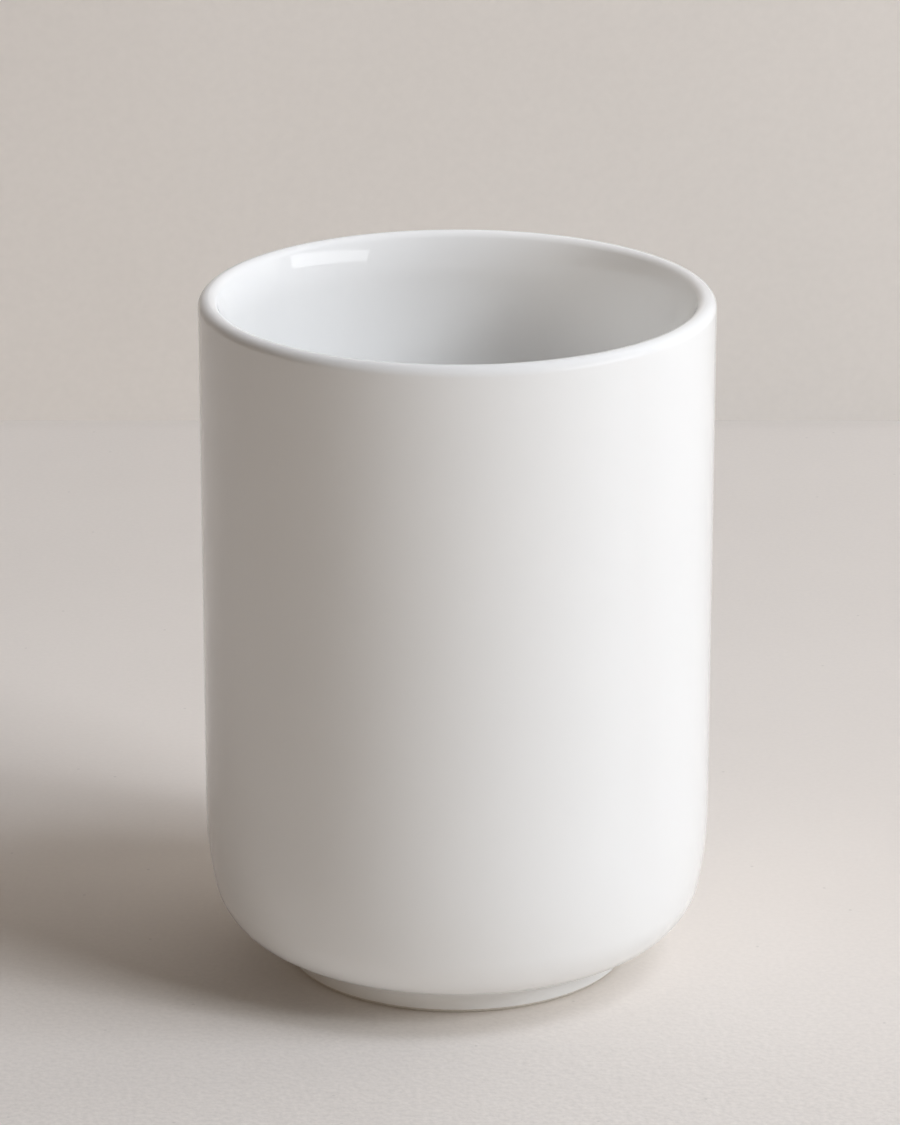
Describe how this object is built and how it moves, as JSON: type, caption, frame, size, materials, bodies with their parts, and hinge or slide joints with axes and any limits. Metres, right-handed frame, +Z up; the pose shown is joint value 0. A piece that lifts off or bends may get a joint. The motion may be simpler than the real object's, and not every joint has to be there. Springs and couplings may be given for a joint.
{
  "type": "ceramic cup",
  "caption": "Handleless white porcelain tumbler with a straight round side, a rolled lip and a small foot ring.",
  "frame": {"origin": "on the surface that the cup stands on, below the middle of the cup", "axes": "+Z up along the cup's axis, towards the lip; X and Y are free because the cup is round"},
  "size_m": [0.075, 0.075, 0.102],
  "materials": {
    "porcelain": "matt fired clay",
    "bare_porcelain": "matt fired clay, wiped bare of glaze at its resting edges",
    "white_glaze": "clear gloss over white",
    "liner_glaze_white": "clear gloss over a slightly whiter coat, poured inside"
  },
  "bodies": {
    "root": {"body": "porcelain", "foot_ring": "bare_porcelain", "liner_glaze": "liner_glaze_white", "outer_glaze": "white_glaze", "well_glaze": "white_glaze"}
  },
  "joints": []
}
